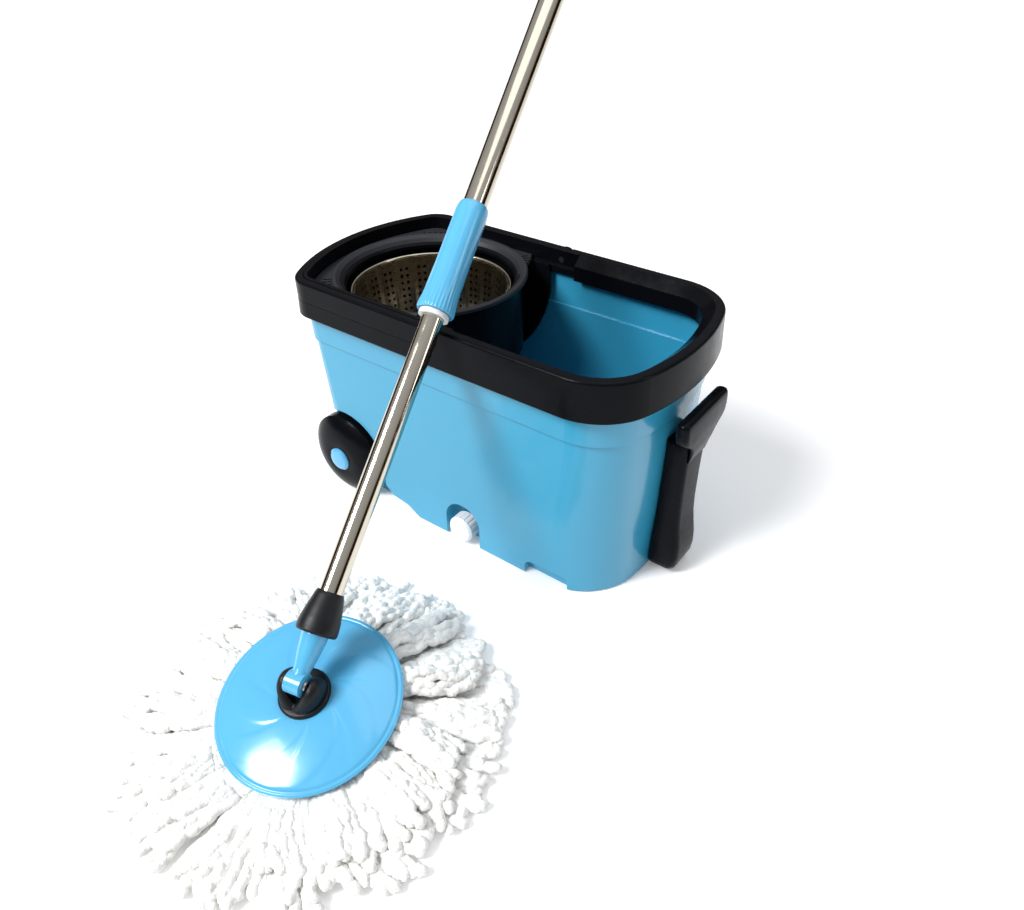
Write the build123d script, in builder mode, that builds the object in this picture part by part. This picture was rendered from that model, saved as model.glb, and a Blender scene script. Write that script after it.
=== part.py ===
from build123d import *
import os
from math import cos, radians, sin, sqrt

os.makedirs("parts", exist_ok=True)

# Spin mop: a wheeled bucket with a lift-out wringer and spin basket, and a mop whose two-part
# shaft turns its head when the upper tube is pumped. Millimetres, +Z up. The origin is on the
# floor under the middle of the bucket, +X runs to the pull-handle end, -X to the wheels.

# ---- driving dimensions: bucket ----
wall = 3.0                  # moulded wall thickness
clearance = 0.4             # gap between pieces that move past each other
rim_left = -240.0           # wringer end of the rim
rim_right = 237.0           # pull-handle end of the rim
rim_half_width = 127.5
rim_bottom = 238.5
rim_top = 281.0
rim_draft = 1.8             # how far the rim leans in from bottom to top
left_bow = 217.0            # radius of the bowed wringer end
left_corner = 34.0
right_bow = 271.0           # radius of the bowed handle end
right_corner = 70.0
base_left = -200.0
base_right = 216.0
base_half_width = 113.5
base_bottom = 2.0           # lower edge of the tank wall
floor_under = 11.0          # underside of the tank floor
floor_top = 14.0
step_outside = 204.0        # height of the step line on the outside
step_inside = 214.0         # height of the ledge on the inside
lower_inset = 14.0          # tank wall below the step, measured in from the rim outline
upper_inset = 11.5          # tank wall above the step
wall_top = 254.0
wall_top_inset = 9.0

# ---- driving dimensions: rim section ----
left_mouth_inset = 19.0     # opening of the rim round the wringer
tray_seat_inset = 15.0      # the tray drops inside this line
tray_seat = 262.0           # height of the ledge that carries the tray
right_mouth_inset = 24.0
funnel_inset = 12.0         # where the funnel of the water side starts
funnel_bottom = 270.0
lip_bottom = 252.0
bail_groove_inset = 10.6
bail_bottom = 258.0
bail_top = 280.6
bail_width = 9.6
bail_pivot_x = 0.0
bail_end_radius = (bail_top - bail_bottom) / 2
bail_pivot_z = (bail_top + bail_bottom) / 2
bail_pin_radius = 3.5

# ---- driving dimensions: wheels and drain ----
wheel_x = -159.0
wheel_radius = 53.0
wheel_inner = 102.0         # distance of the wheel's inner face from the middle of the bucket
wheel_outer = 131.0
axle_radius = 4.0
arch_radius = 59.0
arch_depth_y = 98.0         # the well's inner wall stands at this distance from the middle
drain_x = 21.5
drain_z = 21.0
drain_arch_radius = 24.5
drain_arch_centre_z = 29.5
drain_depth_y = 99.0
spigot_bore = 6.0
spigot_radius = 9.0
plug_radius = 16.5
notch_depth_y = 103.5

# ---- driving dimensions: pull handle ----
guide_half_width = 25.0
guide_bottom = 6.0
guide_top = 178.0
guide_outer = 247.0
slot_inner = 237.3
slot_outer = 244.7
stem_half_width = 17.5
grip_half_length = 46.0
grip_bottom = 190.0
grip_top = 218.0

# ---- driving dimensions: wringer ----
basket_x = -106.3
basket_rim_radius = 92.3
basket_rim_wire = 2.2
basket_top = 250.0
basket_bottom = 172.0
basket_foot_radius = 80.0
basket_wall = 1.2
tray_thickness = 4.5
tray_right = -14.0
tray_right_bow = 246.0
cup_radius = 105.0
cup_bottom = 176.0
cup_boss_bottom = 138.0
spindle_radius = 4.0

# ---- driving dimensions: mop ----
knuckle = Vector(75.0, -403.4, 75.0)    # middle of the knuckle pin
heading = radians(102.09)               # the way the shaft leans, seen from above
shaft_lean = radians(50.67)             # from upright
plate_tilt = radians(-14.4)             # the head rests on its strands, tipped off level
plate_drop = 35.8                       # knuckle pin above the plate's edge
plate_radius = 87.0
lower_tube_radius = 11.0
upper_tube_radius = 12.7
tube_wall = 0.9
lower_tube_start = 62.0
lower_tube_end = 450.0
upper_tube_start = 363.0
shaft_end = 1140.0
bush_start = 356.0
grip_start = 361.0
grip_end = 478.0
nut_height = 6.0
rod_start = 320.0
rod_end = 672.0
rod_lead = 100.0
rod_width = 7.0
rod_thickness = 3.0


# ---- shared shapes ----
def bowed_plan(left, right, half, bow_left, bow_right, corner_left, corner_right):
    """Plan outline with straight sides, a bowed arc at each end and rounded corners."""
    side_right = right - bow_right + sqrt(bow_right**2 - half**2)
    side_left = left + bow_left - sqrt(bow_left**2 - half**2)
    with BuildSketch() as plan:
        with BuildLine():
            Line((side_left, half), (side_right, half))
            ThreePointArc((side_right, half), (right, 0), (side_right, -half))
            Line((side_right, -half), (side_left, -half))
            ThreePointArc((side_left, -half), (left, 0), (side_left, half))
        make_face()
        fillet(plan.vertices().group_by(Axis.X)[-1], corner_right)
        fillet(plan.vertices().group_by(Axis.X)[0], corner_left)
    return plan.sketch


def mouth_outline(inset):
    """The rim's plan outline, moved in by the inset."""
    return bowed_plan(
        rim_left + inset, rim_right - inset, rim_half_width - inset,
        left_bow - inset, right_bow - inset, left_corner - inset, right_corner - inset,
    )


def base_outline(inset):
    """The tank's plan outline at the floor, moved in by the inset."""
    return bowed_plan(
        base_left + inset, base_right - inset, base_half_width - inset,
        400 - inset, 400 - inset, 40 - inset, 74 - inset,
    )


def tapered(*sections):
    """Straight-sided solid through plan outlines given with their heights, lowest first."""
    with BuildPart() as solid:
        for height, outline in sections:
            with BuildSketch(Plane.XY.offset(height)):
                add(outline)
        loft(ruled=True)
    return solid.part


def prism(outline, bottom, top):
    """Upright solid on a plan outline."""
    with BuildPart() as solid:
        with BuildSketch(Plane.XY.offset(bottom)):
            add(outline)
        extrude(amount=top - bottom)
    return solid.part


def turned(frame, points, soften=0.0):
    """Solid of revolution about the frame's Z axis from (radius, height) points."""
    with BuildPart() as solid:
        with BuildSketch(Plane(origin=frame.origin, x_dir=frame.x_dir, z_dir=-frame.y_dir)) as half:
            with BuildLine():
                Polyline(*points, close=True)
            make_face()
            if soften:
                axis_line = half.vertices().group_by(Axis(frame.origin, frame.x_dir))[0]
                on_axis = axis_line if min(p[0] for p in points) == 0 else []
                fillet([v for v in half.vertices() if v not in on_axis], soften)
        revolve(axis=Axis(frame.origin, frame.z_dir))
    return solid.part


def side_prism(outline, side, near, far):
    """Solid on an outline drawn in X and Z, between two distances from the middle plane."""
    with BuildPart() as solid:
        with BuildSketch(Plane(origin=(0, side * near, 0), x_dir=(1, 0, 0), z_dir=(0, -1, 0))):
            add(outline)
        extrude(amount=-side * (far - near))
    return solid.part


def half_space(right_of):
    """Large block to the right of an X position, for trimming."""
    with BuildPart(Plane.XY.offset(-50)) as block:
        with Locations((right_of + 400, 0)):
            Box(800, 800, 500, align=(Align.CENTER, Align.CENTER, Align.MIN))
    return block.part


def finish(piece, label):
    """Name a finished piece and write it."""
    piece.part.label = label
    export_step(piece.part, f"parts/{label}.step")


# ---- tank ----
def wheel_arch(grow):
    """Arch over a wheel with a flared right foot, grown outwards by an amount."""
    with BuildSketch() as arch:
        with Locations((wheel_x, wheel_radius)):
            Circle(arch_radius + grow)
        with BuildLine():
            Polyline(
                (wheel_x - arch_radius - grow, wheel_radius), (wheel_x - arch_radius - grow, -20),
                (-48, -20), (-48 + grow, 2 + grow), (-66, 13 + grow), (-90 + grow, 17 + grow),
                (-101 + grow, 28 + grow), (wheel_x + arch_radius + grow, wheel_radius), close=True,
            )
        make_face()
    return arch.sketch


def drain_arch(grow):
    """Arched recess round the drain plug, grown outwards by an amount."""
    with BuildSketch() as arch:
        with Locations((drain_x, drain_arch_centre_z)):
            Circle(drain_arch_radius + grow)
        with Locations((drain_x, 0)):
            Rectangle(2 * (drain_arch_radius + grow), 2 * drain_arch_centre_z)
    return arch.sketch


def foot_notch(grow):
    """Shallow finger notch in the lower edge, grown outwards by an amount."""
    with BuildSketch() as notch:
        with Locations((138, 0)):
            Rectangle(54 + 2 * grow, 2 * (20 + grow))
        fillet(notch.vertices().group_by(Axis.Y)[-1], 9)
    return notch.sketch


lower_shell = tapered((base_bottom, base_outline(0)), (step_outside, mouth_outline(lower_inset)))
upper_shell = tapered(
    (step_outside, mouth_outline(upper_inset)), (wall_top, mouth_outline(wall_top_inset))
)
lower_space = tapered(
    (floor_top, base_outline(wall)), (step_inside, mouth_outline(lower_inset + wall))
)
upper_space = tapered(
    (step_inside, mouth_outline(upper_inset + wall)), (wall_top, mouth_outline(wall_top_inset + wall))
)
under_space = tapered((base_bottom, base_outline(wall)), (floor_under, base_outline(wall)))
wells = [side_prism(wheel_arch(0), side, arch_depth_y, 140) for side in (-1, 1)]
well_walls = [side_prism(wheel_arch(wall), side, arch_depth_y - wall, 140) for side in (-1, 1)]
drain_recess = side_prism(drain_arch(0), -1, drain_depth_y, 140)
drain_wall = side_prism(drain_arch(wall), -1, drain_depth_y - wall, 140)
notches = [side_prism(foot_notch(0), side, notch_depth_y, 140) for side in (-1, 1)]
notch_walls = [side_prism(foot_notch(wall), side, notch_depth_y - wall, 140) for side in (-1, 1)]

with BuildPart() as water_space:
    add(lower_space)
    for pocket in [*well_walls, drain_wall, *notch_walls]:
        add(pocket, mode=Mode.SUBTRACT)
    add(upper_space)

with BuildPart() as hollow_foot:
    add(under_space)
    for pocket in [*well_walls, drain_wall, *notch_walls]:
        add(pocket, mode=Mode.SUBTRACT)

with BuildPart() as bucket_body:
    add(lower_shell)
    add(upper_shell)
    add(water_space.part, mode=Mode.SUBTRACT)
    add(hollow_foot.part, mode=Mode.SUBTRACT)
    for pocket in [*wells, drain_recess, *notches]:
        add(pocket, mode=Mode.SUBTRACT)
    # blind bosses that hold the stub axles, on the water side of each well wall
    for side in (-1, 1):
        with BuildSketch(Plane(origin=(wheel_x, side * 84, wheel_radius), z_dir=(0, side, 0))):
            Circle(10)
        extrude(amount=arch_depth_y - 84)
        with BuildSketch(Plane(origin=(wheel_x, side * 87, wheel_radius), z_dir=(0, side, 0))):
            Circle(axle_radius)
        extrude(amount=20, mode=Mode.SUBTRACT)
    # drain spigot, moulded with the recess wall
    with BuildSketch(Plane(origin=(drain_x, -drain_depth_y, drain_z), z_dir=(0, -1, 0))):
        Circle(spigot_radius)
    extrude(amount=11)
    with BuildSketch(Plane(origin=(drain_x, -90, drain_z), z_dir=(0, -1, 0))):
        Circle(spigot_bore)
    extrude(amount=30, mode=Mode.SUBTRACT)
finish(bucket_body, "bucket_body")

# ---- feet: two pads under the handle end and a rib under the middle of the floor ----
with BuildPart() as bucket_feet:
    with BuildSketch(Plane.XY):
        with Locations((180, 70), (180, -70)):
            Circle(11)
        RectangleRounded(150, 26, 6)
    extrude(amount=floor_under)
finish(bucket_feet, "bucket_feet")

# ---- rim ----
water_side = half_space(bail_pivot_x + 24)
past_bail = half_space(bail_pivot_x)
with BuildPart() as past_ramp:
    with BuildSketch(Plane(origin=(0, -200, 0), x_dir=(1, 0, 0), z_dir=(0, -1, 0))):
        with BuildLine():
            Polyline(
                (bail_pivot_x, 200), (600, 200), (600, 400), (bail_pivot_x + 34, 400),
                (bail_pivot_x + 34, 281), (bail_pivot_x + 20, 276), (bail_pivot_x, 276), close=True,
            )
        make_face()
    extrude(amount=-400)

with BuildPart() as bail_groove:
    add(prism(mouth_outline(-6), bail_bottom - clearance, rim_top + 5))
    add(prism(mouth_outline(bail_groove_inset), bail_bottom - 5, rim_top + 10), mode=Mode.SUBTRACT)
    add(past_bail, mode=Mode.SUBTRACT)
    for side in (-1, 1):
        near = rim_half_width - bail_groove_inset
        with BuildSketch(Plane(origin=(bail_pivot_x, side * near, bail_pivot_z), z_dir=(0, side, 0))):
            Circle(bail_end_radius + clearance)
        extrude(amount=20)
        with BuildSketch(Plane(origin=(bail_pivot_x, side * near, bail_pivot_z + 10),
                               z_dir=(0, side, 0))):
            Rectangle(2 * (bail_end_radius + clearance), 20)
        extrude(amount=20)

mouth_right = tapered((rim_bottom - 5, mouth_outline(right_mouth_inset)),
                      (funnel_bottom, mouth_outline(right_mouth_inset)))
funnel = tapered((funnel_bottom, mouth_outline(right_mouth_inset)),
                 (rim_top + 1, mouth_outline(funnel_inset - 1)))
with BuildPart() as right_mouth:
    add(mouth_right)
    add(funnel)
    add(water_side, mode=Mode.INTERSECT)

with BuildPart() as web_space_low:
    add(prism(mouth_outline(wall), rim_bottom - 5, wall_top))
    add(prism(mouth_outline(right_mouth_inset - wall), lip_bottom, wall_top + 5), mode=Mode.SUBTRACT)

with BuildPart() as web_space_high:
    add(prism(mouth_outline(wall + 0.5), wall_top - 1, 277))
    add(prism(mouth_outline(funnel_inset - 2), wall_top - 5, 290), mode=Mode.SUBTRACT)
    add(prism(mouth_outline(wall + 0.5), wall_top - 1, 266))
    add(prism(mouth_outline(right_mouth_inset - wall), wall_top - 5, 290), mode=Mode.SUBTRACT)
    add(half_space(bail_pivot_x + 38), mode=Mode.INTERSECT)

with BuildPart() as top_rim:
    add(tapered((rim_bottom, mouth_outline(0)), (rim_top, mouth_outline(rim_draft))))
    fillet(top_rim.faces().sort_by(Axis.Z)[-1].edges(), 3)
    add(web_space_low.part, mode=Mode.SUBTRACT)
    add(web_space_high.part, mode=Mode.SUBTRACT)
    add(right_mouth.part, mode=Mode.SUBTRACT)
    add(prism(mouth_outline(left_mouth_inset), rim_bottom - 5, rim_top + 5) - water_side,
        mode=Mode.SUBTRACT)
    add(prism(mouth_outline(tray_seat_inset), tray_seat, rim_top + 5) - water_side,
        mode=Mode.SUBTRACT)
    add(bail_groove.part, mode=Mode.SUBTRACT)
    for side in (-1, 1):
        near = rim_half_width - tray_seat_inset
        with BuildSketch(Plane(origin=(bail_pivot_x, side * near, bail_pivot_z), z_dir=(0, side, 0))):
            Circle(bail_pin_radius)
        extrude(amount=bail_groove_inset, mode=Mode.SUBTRACT)
finish(top_rim, "top_rim")

with BuildPart() as bail_pins:
    for side in (-1, 1):
        near = rim_half_width - tray_seat_inset
        with BuildSketch(Plane(origin=(bail_pivot_x, side * near, bail_pivot_z), z_dir=(0, side, 0))):
            Circle(bail_pin_radius)
        extrude(amount=13.4)
finish(bail_pins, "carry_handle_pins")

# ---- carry handle: a band that lies in the rim's groove round the wringer end ----
bail_outer = 0.8
with BuildPart() as carry_handle:
    add(prism(mouth_outline(bail_outer), bail_bottom, bail_top))
    fillet(carry_handle.faces().sort_by(Axis.Z)[-1].edges(), 3)
    add(prism(mouth_outline(bail_outer + bail_width - 0.4), bail_bottom - 5, bail_top + 5),
        mode=Mode.SUBTRACT)
    add(past_bail, mode=Mode.SUBTRACT)
    for side in (-1, 1):
        near = rim_half_width - bail_outer - bail_width + 0.4
        with BuildSketch(Plane(origin=(bail_pivot_x, side * near, bail_pivot_z), z_dir=(0, side, 0))):
            Circle(bail_end_radius)
        extrude(amount=bail_width - 0.4)
        with BuildSketch(Plane(origin=(bail_pivot_x, side * (near - 2), bail_pivot_z),
                               z_dir=(0, side, 0))):
            Circle(bail_pin_radius + 0.05)
        extrude(amount=bail_width + 4, mode=Mode.SUBTRACT)
finish(carry_handle, "carry_handle")

# ---- wheels: stub axles, domed wheels, retaining clips and hub caps ----
def wheel_frame(side):
    """Frame on the wheel's axis whose Z runs outwards from the middle of the bucket."""
    return Plane(origin=(wheel_x, 0, wheel_radius), x_dir=(1, 0, 0), z_dir=(0, side, 0))


with BuildPart() as wheel_axles:
    for side in (-1, 1):
        add(turned(wheel_frame(side), [(0, 87), (axle_radius, 87), (axle_radius, 128.4), (0, 128.4)]))
finish(wheel_axles, "wheel_axles")

with BuildPart() as axle_clips:
    for side in (-1, 1):
        add(turned(wheel_frame(side), [(axle_radius, 126.4), (9, 126.4), (9, 127.4), (axle_radius, 127.4)]))
finish(axle_clips, "axle_clips")

for side, name in ((-1, "near"), (1, "far")):
    frame = wheel_frame(side)
    with BuildPart() as wheel:
        with BuildSketch(Plane(origin=frame.origin, x_dir=frame.x_dir, z_dir=-frame.y_dir)):
            with BuildLine():
                rise = Polyline(
                    (15.2, wheel_outer), (15.2, 126), (axle_radius + 0.05, 126),
                    (axle_radius + 0.05, wheel_inner), (wheel_radius - 3, wheel_inner),
                    (wheel_radius, wheel_inner + 3), (wheel_radius, 118),
                )
                ThreePointArc(rise @ 1, (40, 127), rise @ 0)
            make_face()
        revolve(axis=Axis(frame.origin, frame.z_dir))
    finish(wheel, f"{name}_wheel")
    with BuildPart() as hub_cap:
        add(turned(frame, [(0, 129), (13.4, 129), (13.4, 128), (14.9, 128), (14.9, 132.5),
                           (12.5, 134.6), (7, 135.6), (0, 135.9)]))
    finish(hub_cap, f"{name}_hub_cap")

# ---- drain: rubber seal round the spigot and a screw plug over it ----
drain_frame = Plane(origin=(drain_x, 0, drain_z), x_dir=(1, 0, 0), z_dir=(0, -1, 0))
with BuildPart() as drain_seal:
    add(turned(drain_frame, [(spigot_radius, 99), (13, 99), (13, 101.2), (spigot_radius, 101.2)]))
finish(drain_seal, "drain_seal")

with BuildPart() as drain_plug:
    add(turned(drain_frame, [
        (spigot_radius + 0.4, 101.5), (plug_radius - 1, 101.5), (plug_radius, 103), (plug_radius, 117),
        (plug_radius - 2.5, 120), (0, 121.5), (0, 112), (spigot_radius + 0.4, 112),
    ]))
    with BuildSketch(Plane(origin=(drain_x, -103, drain_z), z_dir=(0, -1, 0))):
        with PolarLocations(plug_radius + 0.9, 18):
            Circle(1.6)
    extrude(amount=13, mode=Mode.SUBTRACT)
finish(drain_plug, "drain_plug")

# ---- pull handle: a guide on the end wall, a flat stem in it and a cross grip ----
with BuildPart() as handle_guide:
    with BuildSketch(Plane.XY.offset(guide_bottom)):
        with Locations((guide_outer - 22, 0)):
            Rectangle(44, 2 * guide_half_width)
    extrude(amount=guide_top - guide_bottom)
    outer_edges = handle_guide.edges().filter_by(Axis.Z).group_by(Axis.X)[-1]
    fillet(outer_edges, 7)
    lower_edges = handle_guide.edges().group_by(Axis.Z)[0].group_by(Axis.X)[-1]
    fillet(lower_edges, 6.5)
    add(lower_shell, mode=Mode.SUBTRACT)
    slot_x = (slot_inner + slot_outer) / 2
    slot_depth = slot_outer - slot_inner
    with BuildSketch(Plane.XY.offset(32)):
        with Locations((slot_x, 0)):
            Rectangle(slot_depth, 2 * (stem_half_width + 3.4))
    extrude(amount=132, mode=Mode.SUBTRACT)
    with BuildSketch(Plane.XY.offset(160)):
        with Locations((slot_x, 0)):
            Rectangle(slot_depth, 2 * (stem_half_width + 0.4))
    extrude(amount=30, mode=Mode.SUBTRACT)
    with BuildSketch(Plane.XY.offset(0)):
        with Locations((231, 0)):
            Rectangle(7, 2 * guide_half_width - 7)
    extrude(amount=guide_top - 6, mode=Mode.SUBTRACT)
finish(handle_guide, "handle_guide")

with BuildPart() as pull_handle_stem:
    stem_depth = slot_depth - 0.7
    with BuildSketch(Plane.XY.offset(34)):
        with Locations((slot_x, 0)):
            Rectangle(stem_depth, 2 * (stem_half_width + 3))
    extrude(amount=8)
    with BuildSketch(Plane.XY.offset(34)):
        with Locations((slot_x, 0)):
            Rectangle(stem_depth, 2 * stem_half_width)
    extrude(amount=grip_bottom - 34)
finish(pull_handle_stem, "pull_handle_stem")

with BuildPart() as pull_handle_grip:
    with BuildSketch(Plane.XY.offset(grip_bottom)):
        with Locations((slot_inner + 8.8, 0)):
            RectangleRounded(13, 2 * grip_half_length, 5.5)
    extrude(amount=grip_top - grip_bottom)
    fillet(pull_handle_grip.faces().sort_by(Axis.Z)[-1].edges(), 3.5)
    fillet(pull_handle_grip.faces().sort_by(Axis.Z)[0].edges(), 3.5)
finish(pull_handle_grip, "pull_handle_grip")

# ---- wringer: tray that drops into the rim, with the basket's cup and two side wings ----
basket_frame = Plane(origin=(basket_x, 0, 0), x_dir=(1, 0, 0), z_dir=(0, 0, 1))
tray_bottom = tray_seat + 0.3
tray_top = tray_bottom + tray_thickness
with BuildPart() as wringer_tray:
    with BuildSketch(Plane.XY.offset(tray_bottom)):
        add(mouth_outline(tray_seat_inset + clearance))
        with Locations((tray_right - tray_right_bow, 0)):
            Circle(tray_right_bow, mode=Mode.INTERSECT)
    extrude(amount=tray_thickness)
    fillet(wringer_tray.faces().sort_by(Axis.Z)[-1].edges(), 2)
    add(turned(basket_frame, [(104, tray_top - 2), (113, tray_top - 2), (113, tray_top + 1.5),
                              (111.5, tray_top + 3), (108.5, tray_top + 3), (104, tray_top)]),
        mode=Mode.ADD)
    add(prism(mouth_outline(tray_seat_inset + clearance), tray_bottom - 5, tray_top + 10),
        mode=Mode.INTERSECT)
    add(turned(basket_frame, [(0, tray_bottom - 5), (99.6, tray_bottom - 5), (99.6, tray_bottom - 2),
                              (107.4, tray_top + 5), (0, tray_top + 5)]), mode=Mode.SUBTRACT)
    # four groups of drain slots round the opening
    for centre, count, spread in ((-52, 5, 7), (-128, 5, 7), (52, 5, 7), (128, 5, 7)):
        for index in range(count):
            turn = centre + (index - (count - 1) / 2) * 3.3
            slot_at = Location((basket_x + 117.5 * cos(radians(turn)), 117.5 * sin(radians(turn)), 0),
                               (0, 0, turn))
            with BuildSketch(Plane.XY.offset(tray_bottom - 5)):
                with Locations(slot_at):
                    SlotOverall(11, 3.4)
            extrude(amount=20, mode=Mode.SUBTRACT)
finish(wringer_tray, "wringer_tray")

cup_outer = cup_radius + 2.5
with BuildPart() as wringer_cup:
    add(turned(basket_frame, [
        (cup_radius, tray_bottom), (cup_radius, cup_bottom), (20, 151), (12, 166), (0, 166),
        (0, cup_boss_bottom), (14, cup_boss_bottom), (14, 145), (cup_outer - 1, cup_bottom - 1.5),
        (cup_outer, cup_bottom), (cup_outer, tray_bottom),
    ]))
    # collar that carries the tray's opening down into the cup
    add(turned(basket_frame, [(97.2, 256), (99.5, 256), (99.5, tray_bottom - 2.5),
                              (cup_radius, tray_bottom - 2), (cup_radius, tray_bottom),
                              (99.6, tray_bottom), (97.2, tray_bottom - 2)]))
    for side in (-1, 1):
        with BuildSketch(Plane(origin=(0, side * (cup_radius - 0.4), 0), x_dir=(1, 0, 0),
                               z_dir=(0, -1, 0))):
            with BuildLine():
                Line((basket_x, tray_bottom), (-12, tray_bottom))
                Line((-12, tray_bottom), (-10, 236))
                ThreePointArc((-10, 236), (-24, 184), (-56, 140))
                Line((-56, 140), (basket_x, 150))
                Line((basket_x, 150), (basket_x, tray_bottom))
            make_face()
        extrude(amount=-side * 2.9)
    with BuildSketch(Plane.XY.offset(120)):
        with Locations((basket_x, 0)):
            with PolarLocations(58, 8):
                SlotOverall(56, 8)
    extrude(amount=54.5, mode=Mode.SUBTRACT)
    add(turned(basket_frame, [(0, 142), (spindle_radius, 142), (spindle_radius, 170), (0, 170)]),
        mode=Mode.SUBTRACT)
finish(wringer_cup, "wringer_cup")

with BuildPart() as basket_spindle:
    add(turned(basket_frame, [(0, 142), (spindle_radius, 142), (spindle_radius, 184), (0, 185)]))
finish(basket_spindle, "basket_spindle")

# ---- spin basket ----
with BuildPart() as basket_shell:
    add(turned(basket_frame, [
        (basket_foot_radius, basket_bottom), (basket_foot_radius + basket_wall, basket_bottom),
        (basket_rim_radius - basket_rim_wire + 0.2, basket_top - 1),
        (basket_rim_radius - basket_rim_wire - basket_wall, basket_top - 1),
    ]))
finish(basket_shell, "basket_shell")

with BuildPart() as basket_rim:
    with BuildSketch(Plane.XZ):
        with Locations((basket_x + basket_rim_radius, basket_top)):
            Circle(basket_rim_wire)
    revolve(axis=Axis((basket_x, 0, 0), (0, 0, 1)))
    add(basket_shell.part, mode=Mode.SUBTRACT)
finish(basket_rim, "basket_rim")

with BuildPart() as basket_base:
    add(turned(basket_frame, [
        (9, 170.2), (basket_foot_radius - 0.1, 171), (basket_foot_radius - 0.1, 176),
        (basket_foot_radius - 2, 176), (basket_foot_radius - 2, 174), (20, 174), (13, 188), (9, 188),
    ]))
    with BuildSketch(Plane.XY.offset(160)):
        with Locations((basket_x, 0)):
            with PolarLocations(48, 12):
                SlotOverall(34, 6)
    extrude(amount=20, mode=Mode.SUBTRACT)
finish(basket_base, "basket_base")

with BuildPart() as basket_bearing:
    add(turned(basket_frame, [(spindle_radius + 0.05, 170.2), (9, 170.2), (9, 186),
                              (spindle_radius + 0.05, 186)]))
finish(basket_bearing, "basket_bearing")

with BuildPart() as basket_hub_cap:
    add(turned(basket_frame, [(0, 188), (13, 188), (12, 192), (7, 196), (0, 197)]))
finish(basket_hub_cap, "basket_hub_cap")


# ---- mop ----
def leaning(angle):
    """Direction that leans from upright by an angle, towards the shaft's heading."""
    return Vector(sin(angle) * cos(heading), sin(angle) * sin(heading), cos(angle))


tilt_axis = Vector(sin(heading), -cos(heading), 0)
shaft = Plane(origin=knuckle, x_dir=tilt_axis, z_dir=leaning(shaft_lean))
plate_normal = leaning(plate_tilt)
head = Plane(origin=knuckle - plate_normal * plate_drop, x_dir=tilt_axis, z_dir=plate_normal)


def across(near, far, radius):
    """Round bar along the knuckle pin's axis between two distances from the middle."""
    pin_plane = Plane(origin=knuckle + tilt_axis * near, x_dir=(0, 0, 1), z_dir=tilt_axis)
    with BuildPart() as bar:
        with BuildSketch(pin_plane):
            Circle(radius)
        extrude(amount=far - near)
    return bar.part


# head: domed plate, swivel hub with two cheeks, yarn ring, screws and the strands under it
with BuildPart() as mop_plate:
    with BuildSketch(Plane(origin=head.origin, x_dir=head.x_dir, z_dir=-head.y_dir)):
        with BuildLine():
            Line((0, 10.5), (0, 13.5))
            Line((0, 13.5), (23, 13.5))
            ThreePointArc((23, 13.5), (58, 9.1), (plate_radius - 1, 1.6))
            ThreePointArc((plate_radius - 1, 1.6), (plate_radius, 0), (plate_radius - 1, -1.6))
            Line((plate_radius - 1, -1.6), (plate_radius - 4, -1.6))
            ThreePointArc((plate_radius - 4, -1.6), (56, 6.1), (20, 10.5))
            Line((20, 10.5), (0, 10.5))
        make_face()
    revolve(axis=Axis(head.origin, head.z_dir))
finish(mop_plate, "mop_plate")

with BuildPart() as swivel_hub:
    add(turned(head, [(0, 13.5), (24, 13.5), (24, 17), (22.5, 18.5), (13, 18.5), (12, 17.5), (0, 17.5)]))
    for side in (-1, 1):
        with BuildSketch(Plane(origin=head.origin + tilt_axis * (side * 8.6), x_dir=head.y_dir,
                               z_dir=tilt_axis)) as cheek:
            with BuildLine():
                Line((-17, 16), (17, 16))
                Line((17, 16), (11, plate_drop))
                ThreePointArc((11, plate_drop), (0, plate_drop + 11), (-11, plate_drop))
                Line((-11, plate_drop), (-17, 16))
            make_face()
        extrude(amount=side * 5.5)
    add(across(-20, 20, 3.05), mode=Mode.SUBTRACT)
    add(turned(head, [(0, 10), (plate_radius, 10), (plate_radius, 0), (0, 0)]), mode=Mode.SUBTRACT)
    add(mop_plate.part, mode=Mode.SUBTRACT)
finish(swivel_hub, "swivel_hub")

with BuildPart() as knuckle_pin:
    add(across(-14.1, 14.1, 3))
    add(across(14.1, 16.3, 5.2))
    add(across(-16.3, -14.1, 5.2))
finish(knuckle_pin, "knuckle_pin")

with BuildPart() as yarn_ring:
    add(turned(head, [(58, -9), (70, -9), (70, -3), (58, -3)], soften=1.5))
finish(yarn_ring, "yarn_ring")

with BuildPart() as plate_screws:
    for index in range(4):
        at = Plane(origin=head.from_local_coords(Vector(64 * cos(radians(45 + 90 * index)),
                                                        64 * sin(radians(45 + 90 * index)), 0)),
                   x_dir=head.x_dir, z_dir=head.z_dir)
        add(turned(at, [(0, -11.5), (4, -11.5), (4, -9), (0, -9)]))
finish(plate_screws, "plate_screws")

strand_frame = Plane(origin=(head.origin.X, head.origin.Y, 0), x_dir=(1, 0, 0), z_dir=(0, 0, 1))
with BuildPart() as mop_strands:
    add(turned(strand_frame, [(0, 0), (168, 0), (176, 8), (176, 22), (160, 36), (128, 44), (0, 44)]))
    add(turned(head, [(0, -12.5), (plate_radius + 3, -12.5), (plate_radius + 3, 90), (0, 90)]),
        mode=Mode.SUBTRACT)
finish(mop_strands, "mop_strands")

# shaft: knuckle with neck, collar, lower tube and the drive nut in its top
with BuildPart() as knuckle_neck:
    add(across(-8.2, 8.2, 10.6))
    add(turned(shaft, [(0, 0), (8, 0), (8, 12), (10.4, 26), (12.4, 44), (12.4, 62), (0, 62)]))
    add(across(-20, 20, 3.05), mode=Mode.SUBTRACT)
finish(knuckle_neck, "knuckle_neck")

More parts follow.
